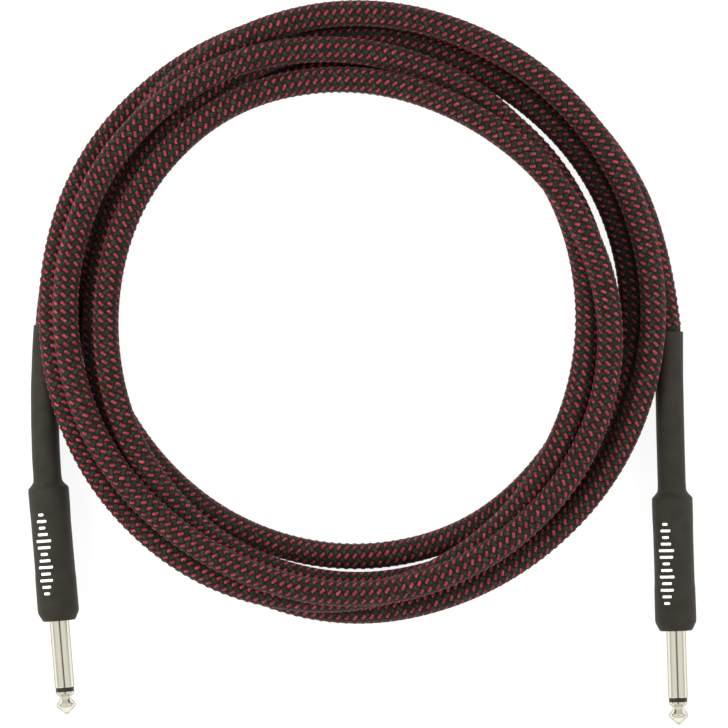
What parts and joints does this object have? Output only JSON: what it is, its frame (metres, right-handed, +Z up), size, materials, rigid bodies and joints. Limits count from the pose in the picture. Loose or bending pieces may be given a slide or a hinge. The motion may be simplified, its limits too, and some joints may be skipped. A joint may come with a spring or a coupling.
{
  "type": "instrument cable",
  "caption": "Coiled fabric-covered audio lead with a straight 6.35 mm two-pole plug at each end.",
  "frame": {"origin": "on the surface that the cable lies on, under the middle of its bounding box", "axes": "+Z up from the surface; -Y the way the plugs point; +X from the left plug to the right one"},
  "size_m": [0.2185, 0.2369, 0.0247],
  "materials": {
    "plated_metal": "bright nickel plate, faint turning marks",
    "tinned_sheet": "stamped tinned sheet",
    "solder": "dull solder",
    "dark_insulator": "moulded, smooth",
    "liner_plastic": "thin tube",
    "shrink_sleeve": "matt heat-shrunk polymer",
    "copper": "bare drawn strands",
    "clear_insulation": "milky",
    "conductive_plastic": "matt",
    "jacket_rubber": "matt",
    "woven_cover": "braided black yarn with red flecks"
  },
  "bodies": {
    "root": {"left_tip_contact": "plated_metal", "left_sleeve_contact": "plated_metal", "left_barrel": "plated_metal", "left_tip_lug": "tinned_sheet", "left_ground_lug": "tinned_sheet", "left_tip_solder": "solder", "left_tip_insulator": "dark_insulator", "left_rear_insulator": "dark_insulator", "left_barrel_liner": "liner_plastic", "left_outer_sleeve": "shrink_sleeve", "left_core_conductor": "copper", "left_core_insulation": "clear_insulation", "left_conductive_layer": "conductive_plastic", "left_shield": "copper", "left_jacket": "jacket_rubber", "left_woven_cover": "woven_cover", "right_tip_contact": "plated_metal", "right_sleeve_contact": "plated_metal", "right_barrel": "plated_metal", "right_tip_lug": "tinned_sheet", "right_ground_lug": "tinned_sheet", "right_tip_solder": "solder", "right_tip_insulator": "dark_insulator", "right_rear_insulator": "dark_insulator", "right_barrel_liner": "liner_plastic", "right_outer_sleeve": "shrink_sleeve", "right_core_conductor": "copper", "right_core_insulation": "clear_insulation", "right_conductive_layer": "conductive_plastic", "right_shield": "copper", "right_jacket": "jacket_rubber", "right_woven_cover": "woven_cover", "cable_coil": "woven_cover"}
  },
  "joints": []
}
